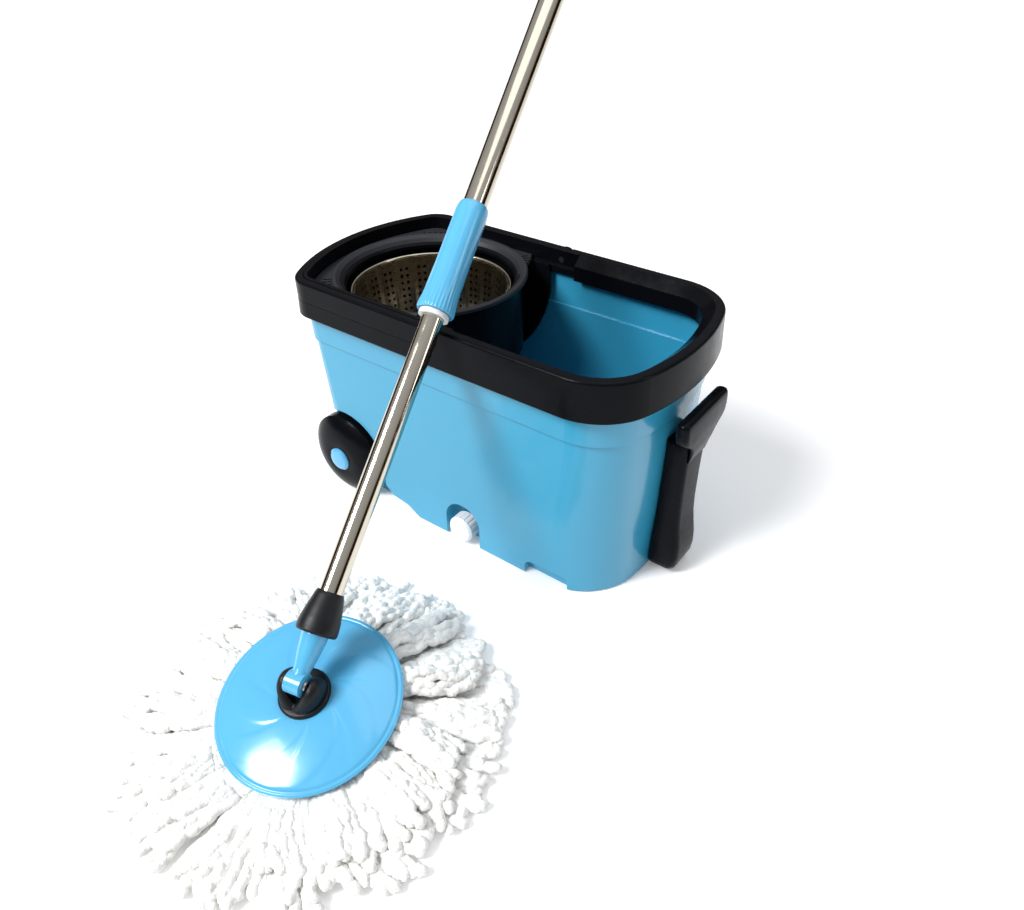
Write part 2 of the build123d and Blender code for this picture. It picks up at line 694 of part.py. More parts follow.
with BuildPart() as shaft_collar:
    add(turned(shaft, [
        (12.45, 45), (18.2, 45), (19.2, 47), (19.2, 51), (18.4, 58), (16.4, 68), (13.6, 80), (12.4, 83),
        (11.05, 83), (11.05, 62.05), (12.45, 62.05),
    ]))
finish(shaft_collar, "shaft_collar")

with BuildPart() as lower_tube:
    add(turned(shaft, [
        (lower_tube_radius - tube_wall, lower_tube_start), (lower_tube_radius, lower_tube_start),
        (lower_tube_radius, lower_tube_end), (lower_tube_radius - tube_wall, lower_tube_end),
    ]))
finish(lower_tube, "lower_tube")

nut_middle = lower_tube_end - nut_height / 2
with BuildPart() as drive_nut:
    add(turned(shaft, [(0, lower_tube_end - nut_height), (lower_tube_radius - tube_wall, lower_tube_end - nut_height),
                       (lower_tube_radius - tube_wall, lower_tube_end), (0, lower_tube_end)]))
    with BuildSketch(shaft.offset(lower_tube_end - nut_height - 5)):
        Rectangle(rod_width + 2, rod_thickness + 2)
    extrude(amount=20, mode=Mode.SUBTRACT)
finish(drive_nut, "drive_nut")

# lock bush, upper tube, twisted drive rod and its anchor, end cap and hanging ring
with BuildPart() as lock_bush:
    add(turned(shaft, [
        (lower_tube_radius + 0.4, bush_start), (15, bush_start), (15, upper_tube_start - 2.4),
        (13.6, upper_tube_start - 0.4), (lower_tube_radius + 0.4, upper_tube_start - 0.4),
    ]))
finish(lock_bush, "lock_bush")

with BuildPart() as upper_tube:
    add(turned(shaft, [
        (upper_tube_radius - tube_wall, upper_tube_start), (upper_tube_radius, upper_tube_start),
        (upper_tube_radius, shaft_end - 20), (upper_tube_radius - tube_wall, shaft_end - 20),
    ]))
finish(upper_tube, "upper_tube")

with BuildPart() as drive_rod:
    sections = 44
    for index in range(sections + 1):
        height = rod_start + (rod_end - rod_start) * index / sections
        turn = -360 * (height - nut_middle) / rod_lead
        with BuildSketch(shaft.offset(height)):
            Rectangle(rod_width, rod_thickness, rotation=turn)
    loft(ruled=True)
finish(drive_rod, "drive_rod")

with BuildPart() as rod_anchor:
    add(turned(shaft, [(0, rod_end), (upper_tube_radius - tube_wall, rod_end),
                       (upper_tube_radius - tube_wall, rod_end + 18), (0, rod_end + 18)]))
finish(rod_anchor, "rod_anchor")

with BuildPart() as grip_sleeve:
    add(turned(shaft, [
        (upper_tube_radius + 0.3, grip_start + 3), (15.6, grip_start + 3), (15.6, grip_start),
        (18.4, grip_start), (18.6, grip_start + 3), (16.6, grip_start + 26), (16, grip_start + 50),
        (16, grip_end - 8), (15, grip_end - 2), (14, grip_end), (upper_tube_radius + 0.3, grip_end),
    ]))
finish(grip_sleeve, "grip_sleeve")

with BuildPart() as end_cap:
    add(turned(shaft, [
        (0, shaft_end - 20), (14.2, shaft_end - 20), (14.2, shaft_end - 4), (11, shaft_end),
        (0, shaft_end + 1),
    ]))
finish(end_cap, "end_cap")

with BuildPart() as hanging_ring:
    ring_plane = Plane(origin=shaft.from_local_coords(Vector(0, 0, shaft_end + 11)),
                       x_dir=shaft.z_dir, z_dir=shaft.x_dir)
    with BuildSketch(ring_plane):
        Circle(12)
        Circle(7, mode=Mode.SUBTRACT)
    extrude(amount=2.5, both=True)
    add(end_cap.part, mode=Mode.SUBTRACT)
finish(hanging_ring, "hanging_ring")
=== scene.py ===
import math
import random

import bpy
from mathutils import Matrix, Vector


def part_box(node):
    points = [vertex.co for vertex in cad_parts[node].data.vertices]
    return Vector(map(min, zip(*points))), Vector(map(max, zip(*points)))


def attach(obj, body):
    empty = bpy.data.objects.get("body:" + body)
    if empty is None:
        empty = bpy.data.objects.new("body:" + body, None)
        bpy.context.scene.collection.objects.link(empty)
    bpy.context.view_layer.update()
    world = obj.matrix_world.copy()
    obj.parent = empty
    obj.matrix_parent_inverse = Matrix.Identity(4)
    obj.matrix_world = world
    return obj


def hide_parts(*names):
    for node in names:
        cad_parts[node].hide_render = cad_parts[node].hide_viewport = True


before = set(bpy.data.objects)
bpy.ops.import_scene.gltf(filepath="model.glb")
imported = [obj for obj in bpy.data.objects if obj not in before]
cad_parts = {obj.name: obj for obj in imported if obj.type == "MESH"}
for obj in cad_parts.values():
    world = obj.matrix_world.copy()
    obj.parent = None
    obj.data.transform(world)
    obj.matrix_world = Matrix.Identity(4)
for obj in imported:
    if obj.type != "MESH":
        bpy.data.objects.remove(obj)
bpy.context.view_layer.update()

random.seed(11)

# ==== Studio ====
# A white paper sweep lit from the front left by a softbox and a broad soft sun, with a large
# softbox overhead and a weak strip light on the right.

colour_a, colour_b, colour_mixed = 6, 7, 2          # the colour sockets of a Mix node


def linear(hex_colour):
    """An sRGB hex colour as linear values with alpha."""
    channels = [int(hex_colour[i:i + 2], 16) / 255 for i in (1, 3, 5)]
    return tuple(c / 12.92 if c <= 0.04045 else ((c + 0.055) / 1.055) ** 2.4 for c in channels) + (1.0,)


def feed(material, fed, links):
    """Set a node's inputs to values, or link them to other nodes' sockets."""
    for name, value in links.items():
        if isinstance(value, bpy.types.NodeSocket):
            material.node_tree.links.new(value, fed.inputs[name])
        else:
            fed.inputs[name].default_value = value


def node(material, kind, links=None, **settings):
    """Add a shader node: settings are its properties, links are its inputs' values or sockets."""
    made = material.node_tree.nodes.new(kind)
    for name, value in settings.items():
        setattr(made, name, value)
    feed(material, made, links or {})
    return made


def surface(name):
    """A new material and its shader."""
    made = bpy.data.materials.new(name)
    made.use_nodes = True
    return made, made.node_tree.nodes["Principled BSDF"]


def mesh_piece(name, vertices, faces, material):
    """A smooth-shaded mesh object in the part's frame, with one material."""
    mesh = bpy.data.meshes.new(name)
    mesh.from_pydata(vertices, [], faces)
    mesh.validate()
    mesh.polygons.foreach_set("use_smooth", [True] * len(mesh.polygons))
    mesh.materials.append(material)
    made = bpy.data.objects.new(name, mesh)
    bpy.context.scene.collection.objects.link(made)
    return made


def facing(place, target):
    """Rotation of a light or camera that looks from a place to a target."""
    return (Vector(target) - Vector(place)).to_track_quat("-Z", "Y")


camera_place = Vector((0.50716, -0.65981, 0.66507))
camera_target = Vector((0.02827, -0.02548, 0.07702))
camera_roll = math.radians(-0.616)
camera_lens = 29.07598          # mm, for a sensor of the width below
sensor_width = 36.0

camera_data = bpy.data.cameras.new("camera")
camera_data.sensor_width = sensor_width
camera_data.lens = camera_lens
camera_data.clip_start = 0.02
camera = bpy.data.objects.new("camera", camera_data)
bpy.context.scene.collection.objects.link(camera)
aim = facing(camera_place, camera_target).to_matrix().to_4x4()
camera.matrix_world = Matrix.Translation(camera_place) @ aim @ Matrix.Rotation(camera_roll, 4, "Z")
bpy.context.scene.camera = camera

# matt white paper: a faint glow keeps it white where the lights fall off
paper, paper_shader = surface("white paper sweep")
feed(paper, paper_shader, {"Base Color": linear("#FAFAFA"), "Roughness": 0.9,
                           "Emission Color": linear("#FFFFFF"), "Emission Strength": 0.16})
sweep_reach = 60
sweep_corners = [(x * sweep_reach, y * sweep_reach, 0) for x, y in ((-1, -1), (1, -1), (1, 1), (-1, 1))]
sweep = mesh_piece("paper_sweep", sweep_corners, [(0, 1, 2, 3)], paper)


def softbox(name, place, target, width, height, watts):
    """A rectangular white area light aimed at a point."""
    data = bpy.data.lights.new(name, "AREA")
    data.shape = "RECTANGLE"
    data.size, data.size_y = width, height
    data.energy = watts
    light = bpy.data.objects.new(name, data)
    light.location = place
    light.rotation_euler = facing(place, target).to_euler()
    bpy.context.scene.collection.objects.link(light)


key_place = (-0.75, -1.75, 2.0)
key_target = (0, -0.15, 0.1)
softbox("key_light", key_place, key_target, 0.8, 0.7, 26)
softbox("top_light", (0.1, 0.3, 2.3), (0, 0, 0.1), 1.6, 1.6, 10)
softbox("rim_light", (1.9, 0.6, 1.1), (0.1, 0, 0.2), 0.3, 1.2, 4)
window_data = bpy.data.lights.new("window_light", "SUN")
window_data.energy = 2.3
window_data.angle = math.radians(22)
window_light = bpy.data.objects.new("window_light", window_data)
window_light.rotation_euler = facing(key_place, key_target).to_euler()
bpy.context.scene.collection.objects.link(window_light)

# the room round the sweep: grey below, dark brown walls, a narrow warm band and a pale ceiling
world = bpy.data.worlds.new("studio room")
world.use_nodes = True
direction = node(world, "ShaderNodeTexCoord").outputs["Generated"]
parts = node(world, "ShaderNodeSeparateXYZ", {"Vector": direction})
walls = node(world, "ShaderNodeValToRGB", {"Fac": parts.outputs["Z"]})
wall_stops = ((0.0, "#8A8A8A"), (0.06, "#2A2119"), (0.30, "#1A1612"), (0.36, "#A9824E"), (0.42, "#C9CDD2"),
              (1.0, "#F4F6FA"))
while len(walls.color_ramp.elements) < len(wall_stops):
    walls.color_ramp.elements.new(0.5)
for element, (place, colour) in zip(walls.color_ramp.elements, wall_stops):
    element.position = place
    element.color = linear(colour)
backdrop = world.node_tree.nodes["Background"]
# what stands behind the sweep stays pale; only reflections and light come from the room
seen = node(world, "ShaderNodeMix", data_type="RGBA", links={
    "Factor": node(world, "ShaderNodeLightPath").outputs["Is Camera Ray"],
    colour_a: walls.outputs["Color"], colour_b: linear("#F4F5F6")})
feed(world, backdrop, {"Strength": 0.62, "Color": seen.outputs[colour_mixed]})
bpy.context.scene.world = world
bpy.context.scene.view_settings.view_transform = "Standard"


# ==== Tank and feet ====
# One injection-moulded polypropylene shell in light blue with a polished mould finish, and
# rubber pads pushed into its underside.


def dress(material, *names):
    """Give CAD nodes a material."""
    for name in names:
        for material_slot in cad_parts[name].material_slots:
            material_slot.link = "OBJECT"
            material_slot.material = material


handling_mm = 18.0          # size of the marks that hands leave in the gloss
plastic_ior = 1.49


def moulded(name, colour, shade, roughness, roughness_spread, mottle_mm, texture_mm, texture_depth,
            edge_mm=0.5, coat=0.0, scatter=0.0, glint=0.5):
    """A moulded plastic: flow mottling of the pigment, handling marks in the gloss and a fine texture."""
    made, shader = surface(name)
    place = node(made, "ShaderNodeTexCoord").outputs["Object"]
    flow = node(made, "ShaderNodeTexNoise", {"Vector": place, "Scale": 1000 / mottle_mm, "Detail": 3.0})
    tone = node(made, "ShaderNodeMix", data_type="RGBA", links={
        "Factor": flow.outputs["Fac"], colour_a: linear(colour), colour_b: linear(shade)})
    marks = node(made, "ShaderNodeTexNoise", {"Vector": place, "Scale": 1000 / handling_mm, "Detail": 5.0,
                                              "Roughness": 0.65})
    gloss = node(made, "ShaderNodeMapRange", {
        "Value": marks.outputs["Fac"], "From Min": 0.3, "From Max": 0.75,
        "To Min": roughness, "To Max": roughness + roughness_spread})
    skin = node(made, "ShaderNodeTexNoise", {"Vector": place, "Scale": 1000 / texture_mm, "Detail": 2.0})
    rounded = node(made, "ShaderNodeBevel", {"Radius": edge_mm / 1000}, samples=4)
    relief = node(made, "ShaderNodeBump", {"Height": skin.outputs["Fac"], "Strength": texture_depth,
                                           "Distance": 0.0004, "Normal": rounded.outputs["Normal"]})
    feed(made, shader, {
        "Base Color": tone.outputs[colour_mixed], "Roughness": gloss.outputs["Result"],
        "Normal": relief.outputs["Normal"], "IOR": plastic_ior, "Specular IOR Level": glint,
        "Coat Weight": coat, "Coat Roughness": 0.06})
    if scatter:
        feed(made, shader, {"Subsurface Weight": scatter, "Subsurface Radius": (0.004, 0.006, 0.008),
                            "Subsurface Scale": 0.5})
    return made


# polypropylene: slightly translucent, so the blue is deep inside and pale where light grazes it
blue_polypropylene = moulded("blue polypropylene", "#389ABE", "#3093B8", 0.2, 0.06, 140.0, 1.6, 0.03,
                             edge_mm=1.2, coat=0.25)
dress(blue_polypropylene, "bucket_body")

# moulded rubber: dull, with a light bloom
foot_rubber = moulded("foot rubber", "#17181A", "#232426", 0.7, 0.2, 12.0, 0.9, 0.5)
dress(foot_rubber, "bucket_feet", "drain_seal")

# ==== Rim, carry handle and pull handle ====
# Black polypropylene mouldings with a polished face; the rim snaps over the tank's edge, the
# carry handle turns on pins in it, and the pull handle slides in a guide on the end wall.

# polished black polypropylene: sharp streaks of reflection with fine swirl marks
black_polypropylene = moulded("polished black polypropylene", "#08090C", "#0D0E13", 0.14, 0.18, 60.0, 1.2,
                              0.05, edge_mm=1.4, glint=0.07)
dress(black_polypropylene, "top_rim", "carry_handle", "wringer_cup")

# black acrylonitrile butadiene styrene with a spark-eroded satin texture
satin_black_abs = moulded("satin black ABS", "#0C0D10", "#16171B", 0.34, 0.16, 30.0, 0.7, 0.25,
                          edge_mm=0.8, glint=0.3)
dress(satin_black_abs, "pull_handle_stem", "basket_base", "basket_hub_cap", "shaft_collar")

# the lift-out tray is a dull charcoal grade with a coarser spark-eroded face
charcoal_abs = moulded("charcoal textured ABS", "#202125", "#2A2B30", 0.42, 0.14, 30.0, 0.8, 0.3, edge_mm=0.8,
                       glint=0.35)
dress(charcoal_abs, "wringer_tray")

# turned mild steel: bright with fine lathe marks
turned_steel, steel_shader = surface("turned mild steel")
steel_place = node(turned_steel, "ShaderNodeTexCoord").outputs["Object"]
lathe = node(turned_steel, "ShaderNodeTexNoise", {"Vector": steel_place, "Scale": 1000 / 0.8, "Detail": 2.0})
lathe_gloss = node(turned_steel, "ShaderNodeMapRange", {"Value": lathe.outputs["Fac"], "To Min": 0.22,
                                                        "To Max": 0.4})
feed(turned_steel, steel_shader, {"Base Color": linear("#B9B7B2"), "Metallic": 1.0,
                                  "Roughness": lathe_gloss.outputs["Result"]})
dress(turned_steel, "carry_handle_pins", "wheel_axles", "axle_clips", "basket_spindle", "plate_screws",
      "drive_rod")


def loft(name, sections, material):
    """A closed body through sections of equal point counts, with flat ends."""
    count = len(sections[0])
    faces = [tuple(reversed(range(count))), tuple((len(sections) - 1) * count + k for k in range(count))]
    for level in range(len(sections) - 1):
        for k in range(count):
            a, b = level * count + k, level * count + (k + 1) % count
            faces.append((a, b, b + count, a + count))
    return mesh_piece(name, [point for section in sections for point in section], faces, material)


corner_steps = 6


def bar_section(height, inner, outer, half_length, corner):
    """A level rounded rectangle between two X values, from sizes in mm."""
    points = []
    for turn, x, y in ((0, outer, half_length), (90, inner, half_length), (180, inner, -half_length),
                       (270, outer, -half_length)):
        diagonal = math.radians(turn + 45)
        x_side, y_side = math.copysign(1, math.cos(diagonal)), math.copysign(1, math.sin(diagonal))
        for k in range(corner_steps + 1):
            angle = math.radians(turn + 90 * k / corner_steps)
            points.append(((x + corner * (math.cos(angle) - x_side)) / 1000,
                           (y + corner * (math.sin(angle) - y_side)) / 1000, height / 1000))
    return points


# the guide is a moulding with a swollen foot, whose back follows the end wall's slope; height, outer
# face, half width and corner in mm
wall_foot = 214.6
wall_slope = 0.034
guide_sections = [bar_section(height, wall_foot + wall_slope * height, outer, half_width, corner)
                  for height, outer, half_width, corner in (
                      (5, 236, 17, 5), (6.5, 242, 20, 6), (10, 247.5, 23, 8), (16, 250, 24.5, 9),
                      (28, 251.2, 25, 9), (42, 250.6, 25, 9), (56, 248.6, 24, 8.5), (72, 246.8, 22.8, 8),
                      (92, 246, 22, 7.5), (130, 246, 22, 7), (168, 246.6, 23, 7), (176, 246.6, 23.4, 7),
                      (177.6, 246.2, 23, 6.6), (178, 245.4, 22.2, 6))]
guide = loft("handle_guide_moulding", guide_sections, black_polypropylene)
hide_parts("handle_guide")
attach(guide, "bucket")

# the cross grip flares out of a front web; height, inner and outer face, half length and corner in mm
grip_sections = [bar_section(*row) for row in (
    (156, 246.9, 247.3, 19.0, 0.1), (160, 247.0, 248.4, 19.4, 0.6), (167, 247.2, 250.2, 20.2, 1.4),
    (174, 247.3, 252.0, 22, 2.2), (181, 247.0, 253, 26.5, 2.8),
    (186, 243.8, 253.6, 33, 4.4), (190, 241, 254, 40, 5.6), (195, 239.8, 254.2, 45, 6.4),
    (202, 239.6, 254.2, 47, 6.8), (210, 239.6, 254.0, 47, 6.6), (214.5, 240, 253.6, 46.4, 6.2),
    (217, 241.2, 252.6, 45.2, 5.2), (218, 243, 251, 43.4, 3.8))]
cross_grip = loft("cross_grip", grip_sections, black_polypropylene)
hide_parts("pull_handle_grip")
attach(cross_grip, "pull_handle")

# ==== Wheels and drain ====
# Hollow black wheels with a domed face run on the stub axles, each closed by a blue snap-in cap.
# The drain plug is a white screw cap over the spigot.
dress(black_polypropylene, "near_wheel", "far_wheel")

# blue acrylonitrile butadiene styrene: paler and glossier than the tank
cap_blue_abs = moulded("blue cap ABS", "#5BABD6", "#52A3CF", 0.14, 0.12, 20.0, 0.9, 0.05,
                       edge_mm=0.4, coat=0.3)
dress(cap_blue_abs, "near_hub_cap", "far_hub_cap")

# natural white polyethylene: waxy and slightly translucent
white_polyethylene = moulded("white polyethylene", "#E8EAEA", "#DADDDF", 0.3, 0.15, 15.0, 0.8, 0.2,
                             scatter=0.2)
dress(white_polyethylene, "drain_plug", "yarn_ring", "lock_bush", "drive_nut", "rod_anchor", "basket_bearing")

# ==== Spin basket ====
# A drawn bowl of stainless sheet with columns of punched drain holes between plain flutes,
# closed by a rolled rim and carried on a plastic base.

# bright-annealed stainless: nearly a mirror, faintly warm, with drawn vertical streaks
bright_stainless, sheet_shader = surface("bright annealed stainless")
sheet_place = node(bright_stainless, "ShaderNodeTexCoord").outputs["Object"]
stretch = node(bright_stainless, "ShaderNodeMapping", {"Vector": sheet_place, "Scale": (90.0, 90.0, 9.0)})
streaks = node(bright_stainless, "ShaderNodeTexNoise", {"Vector": stretch.outputs["Vector"], "Scale": 1.0,
                                                        "Detail": 3.0})
streak_gloss = node(bright_stainless, "ShaderNodeMapRange", {"Value": streaks.outputs["Fac"], "From Min": 0.3,
                                                             "From Max": 0.7, "To Min": 0.14, "To Max": 0.24})
streak_tone = node(bright_stainless, "ShaderNodeMix", data_type="RGBA", links={
    "Factor": streaks.outputs["Fac"], colour_a: linear("#CFC8B8"), colour_b: linear("#A39A86")})
feed(bright_stainless, sheet_shader, {"Base Color": streak_tone.outputs[colour_mixed], "Metallic": 1.0,
                                      "Roughness": streak_gloss.outputs["Result"]})
dress(bright_stainless, "basket_rim")

basket_low, basket_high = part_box("basket_shell")
basket_centre = Vector([(a + b) / 2 for a, b in zip(basket_low, basket_high)])
rim_clearance = 0.0006
basket_top_radius = (basket_high[0] - basket_low[0]) / 2 - rim_clearance
basket_middle_radius = 0.085
basket_foot_radius = 0.0806
bowl_flare = 0.8
basket_bottom, basket_top = basket_low[2], basket_high[2]
hole_radius = 0.0019
hole_columns = 72
hole_rows = 9
flute_every = 3          # one column in three is a plain flute
flute_depth = 0.0011
side_points = 3          # edge segments on each side of one hole's cell
ring_points = 4 * side_points
key_steps = 600          # how finely a cell is divided when two points are taken as one


def basket_point(column, row):
    """A point of the basket wall; flutes between the hole columns are pressed slightly inwards."""
    angle = 2 * math.pi * column / hole_columns
    height = row / hole_rows
    within = column % flute_every
    flute = flute_depth * max(0.0, math.cos(math.pi * (within - 2.5))) ** 2 if within >= 2 else 0.0
    radius = basket_foot_radius + (basket_top_radius - basket_foot_radius) * height ** bowl_flare - flute
    return (basket_centre[0] + radius * math.cos(angle), basket_centre[1] + radius * math.sin(angle),
            basket_bottom + (basket_top - basket_bottom) * height)


basket_vertices, basket_faces, basket_index = [], [], {}


def basket_vertex(column, row):
    """Index of the wall point, made once."""
    key = (round((column % hole_columns) * key_steps), round(row * key_steps))
    if key not in basket_index:
        basket_index[key] = len(basket_vertices)
        basket_vertices.append(basket_point(column, row))
    return basket_index[key]


cell_border = ([(i / side_points, 0.0) for i in range(side_points)]
               + [(1.0, i / side_points) for i in range(side_points)]
               + [(1 - i / side_points, 1.0) for i in range(side_points)]
               + [(0.0, 1 - i / side_points) for i in range(side_points)])
cell_width = 2 * math.pi * basket_middle_radius / hole_columns
cell_height = (basket_top - basket_bottom) / hole_rows
for column in range(hole_columns):
    for row in range(hole_rows):
        if column % flute_every == 2 or row in (0, hole_rows - 1):
            for i in range(side_points):
                for j in range(side_points):
                    corners = [(i, j), (i + 1, j), (i + 1, j + 1), (i, j + 1)]
                    basket_faces.append([basket_vertex(column + a / side_points, row + b / side_points)
                                         for a, b in corners])
        else:
            border = [basket_vertex(column + a, row + b) for a, b in cell_border]
            rim = []
            for a, b in cell_border:
                turn = math.atan2((b - 0.5) * cell_height, (a - 0.5) * cell_width)
                rim.append(basket_vertex(column + 0.5 + hole_radius * math.cos(turn) / cell_width,
                                         row + 0.5 + hole_radius * math.sin(turn) / cell_height))
            for k in range(ring_points):
                following = (k + 1) % ring_points
                basket_faces.append([border[k], border[following], rim[following], rim[k]])
sheet_thickness = 0.0008
basket_wall = mesh_piece("basket_wall", basket_vertices, basket_faces, bright_stainless)
sheet = basket_wall.modifiers.new("sheet", "SOLIDIFY")
sheet.thickness = sheet_thickness
sheet.offset = 0.0
crisp = basket_wall.modifiers.new("crisp hole edges", "EDGE_SPLIT")
crisp.split_angle = math.radians(35)
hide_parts("basket_shell")
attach(basket_wall, "basket")

# ==== Mop head ====
# A domed plate of blue ABS with a petal relief, on a tipped frame of its own; the black hub on
# top takes the shaft's knuckle between its raised walls.
heading = math.radians(102.09)
shaft_lean = math.radians(50.67)
plate_tilt = math.radians(-14.4)
knuckle = Vector((0.0750, -0.4034, 0.0750))
plate_drop = 0.0358


def leaning(angle):
    """Direction that leans from upright by an angle, towards the shaft's heading."""
    return Vector((math.sin(angle) * math.cos(heading), math.sin(angle) * math.sin(heading), math.cos(angle)))


def local_frame(origin, along):
    """Matrix whose Z is a direction and whose X is the knuckle pin's axis."""
    pin_axis = Vector((math.sin(heading), -math.cos(heading), 0))
    return Matrix.Translation(origin) @ Matrix((pin_axis, along.cross(pin_axis), along)).transposed().to_4x4()


shaft_frame = local_frame(knuckle, leaning(shaft_lean))
head_frame = local_frame(knuckle - leaning(plate_tilt) * plate_drop, leaning(plate_tilt))


def turned_piece(name, place, profile, material, segments=96, shape=None):
    """A turned mesh from a closed round of (radius, height) points; shape may move each of them."""
    vertices, faces = [], []
    for i in range(segments):
        angle = 2 * math.pi * i / segments
        for step, (radius, height) in enumerate(profile):
            if shape:
                radius, height = shape(radius, height, angle, step)
            vertices.append(place @ Vector((radius * math.cos(angle), radius * math.sin(angle), height)))
    count = len(profile)
    for i in range(segments):
        for step in range(count):
            a, b = i * count + step, i * count + (step + 1) % count
            c, d = ((i + 1) % segments) * count + (step + 1) % count, ((i + 1) % segments) * count + step
            faces.append((a, d, c, b))
    return mesh_piece(name, vertices, faces, material)


# glossy blue ABS: a touch paler than the tank
head_blue_abs = moulded("blue head ABS", "#5AB0DA", "#50A8D4", 0.16, 0.08, 70.0, 1.4, 0.03,
                        edge_mm=0.8, coat=0.3)
dress(head_blue_abs, "knuckle_neck", "end_cap", "hanging_ring")

plate_radius = 0.087
plate_dome = 0.0135
plate_wall = 0.003
plate_steps = 44
bead_start = 0.0816
petals = 7
petal_start = 0.026
petal_rise = 0.00045
pole_radius = 0.0002          # keeps the points at a turned piece's middle apart


def plate_height(radius):
    """Height of the plate's dome at a radius."""
    share = min(radius / plate_radius, 1.0)
    return plate_dome * (1 - share ** 2.4) + 0.0012 * share


def petal_relief(radius, height, angle, step):
    """Raise overlapping petals on the dome's upper face."""
    if step < plate_steps and radius > petal_start:
        share = (radius - petal_start) / (plate_radius - petal_start)
        sweep_round = petals * (angle + 0.9 * share) / (2 * math.pi)
        across = (sweep_round % 1.0) * 2 - 1
        outline = max(0.0, 1 - abs(across) ** 1.6)
        ridge = 1 / (1 + math.exp(-(outline - share * 0.95) * 26))
        height += petal_rise * ridge
    return radius, height


plate_profile = [(pole_radius + bead_start * i / plate_steps, plate_height(bead_start * i / plate_steps))
                 for i in range(plate_steps)]
# a fine bead runs round just inside the edge
plate_profile += [(radius, plate_height(radius) + rise) for radius, rise in (
    (bead_start, 0.0), (0.0822, -0.0005), (0.0829, -0.0006), (0.0836, -0.0004), (0.0841, 0.0002),
    (0.0850, 0.0003), (0.0860, -0.0001), (0.0867, -0.0007))]
plate_profile += [(plate_radius, 0.0008), (plate_radius - 0.0006, -0.0010),
                  (plate_radius - plate_wall, -0.0014)]
under_steps = 12
for i in range(1, under_steps):
    under_radius = plate_radius * (1 - i / under_steps)
    plate_profile.append((under_radius - plate_wall, plate_height(under_radius) - plate_wall))
plate = turned_piece("domed_plate", head_frame, plate_profile, head_blue_abs, segments=280,
                     shape=petal_relief)
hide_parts("mop_plate")
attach(plate, "mop_head")

# the hub's base disc and the crescent wall that guards the knuckle, open towards the lean
hub_profile = [(pole_radius, 0.0176), (0.0215, 0.0176), (0.0234, 0.0170), (0.0242, 0.0155), (0.0242, 0.0135),
               (0.0235, 0.0105), (pole_radius, 0.0105)]
hub = turned_piece("hub_disc", head_frame, hub_profile, satin_black_abs)
wall_steps = 72
wall_opening = math.radians(48)
crescent_sections = []
for i in range(wall_steps + 1):
    turn = math.pi / 2 + wall_opening + (2 * math.pi - 2 * wall_opening) * i / wall_steps
    crest = 0.0200 + 0.0185 * abs(math.cos(turn)) ** 1.3 + 0.004 * max(0.0, math.sin(turn))
    ring = ((0.0120, 0.0165), (0.0120, crest - 0.0014), (0.0126, crest - 0.0004), (0.0138, crest),
            (0.0166, crest - 0.0006), (0.0190, crest - 0.0024), (0.0206, crest - 0.0060),
            (0.0218, max(0.0168, crest - 0.0120)), (0.0222, 0.0165))
    crescent_sections.append([head_frame @ Vector((radius * math.cos(turn), radius * math.sin(turn), height))
                              for radius, height in ring])
hub_wall = loft("hub_crescent", crescent_sections, satin_black_abs)
for piece in (hub, hub_wall):
    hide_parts("swivel_hub")
    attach(piece, "mop_head")

# a plated cross-head screw holds the knuckle's eye between the two sides of the crescent
pin_frame = shaft_frame @ Matrix.Rotation(math.pi / 2, 4, "Y")
screw_face = 0.0106
screw_profile = [(pole_radius, 0.0150), (pole_radius, -0.0150), (0.0029, -0.0150), (0.0029, 0.0084),
                 (0.0046, 0.0084), (0.0047, 0.0092), (0.0041, 0.0101), (0.0024, screw_face),
                 (0.0012, screw_face)]


def cross_recess(radius, height, angle, step):
    """Press a cross into the screw's head."""
    if height > 0.0100 or step == 0:
        arm = min(abs(math.sin(angle)), abs(math.cos(angle))) * max(radius, pole_radius)
        height = screw_face - (0.0014 if arm < 0.0005 and radius < 0.0036 else 0.0)
    return radius, height


screw = turned_piece("knuckle_screw", pin_frame, screw_profile, turned_steel, segments=48, shape=cross_recess)
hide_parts("knuckle_pin")
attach(screw, "mop_head")

# ==== Mop strands ====
# Yarns of white microfibre chenille, each held at one end by the yarn ring under the plate; they
# spill out from under its edge, lie over each other and rest on the floor with their ends free.

# microfibre chenille: matt, soft and bright, with short pile that breaks up every edge
chenille, yarn_shader = surface("white microfibre chenille")
yarn_place = node(chenille, "ShaderNodeTexCoord").outputs["Object"]
pile = node(chenille, "ShaderNodeTexNoise", {"Vector": yarn_place, "Scale": 1000 / 1.6, "Detail": 4.0})
clump = node(chenille, "ShaderNodeTexNoise", {"Vector": yarn_place, "Scale": 1000 / 9.0, "Detail": 3.0})
yarn_tone = node(chenille, "ShaderNodeMix", data_type="RGBA", links={
    "Factor": clump.outputs["Fac"], colour_a: linear("#FBFAF6"), colour_b: linear("#F1F1EE")})
tuft = node(chenille, "ShaderNodeBump", {"Height": pile.outputs["Fac"], "Strength": 0.9, "Distance": 0.0012})
feed(chenille, yarn_shader, {
    "Base Color": yarn_tone.outputs[colour_mixed], "Normal": tuft.outputs["Normal"], "Roughness": 0.95,
    "Sheen Weight": 0.6, "Sheen Roughness": 0.5, "Subsurface Weight": 0.25,
    "Subsurface Radius": (0.003, 0.003, 0.003)})

head_centre = head_frame.translation
plate_slope = leaning(plate_tilt)
yarn_radius = 0.0045
yarn_start = 0.060
yarn_spacing = 0.0125
under_plate = 0.004
strand_rings = 70
strand_sides = 9
lock_count = 52
strands_per_lock = 7


def edge_height(angle, radius=plate_radius):
    """Height of the plate's edge plane above the floor, at an angle seen from above."""
    dx, dy = radius * math.cos(angle), radius * math.sin(angle)
    return head_centre.z - (plate_slope.x * dx + plate_slope.y * dy) / plate_slope.z


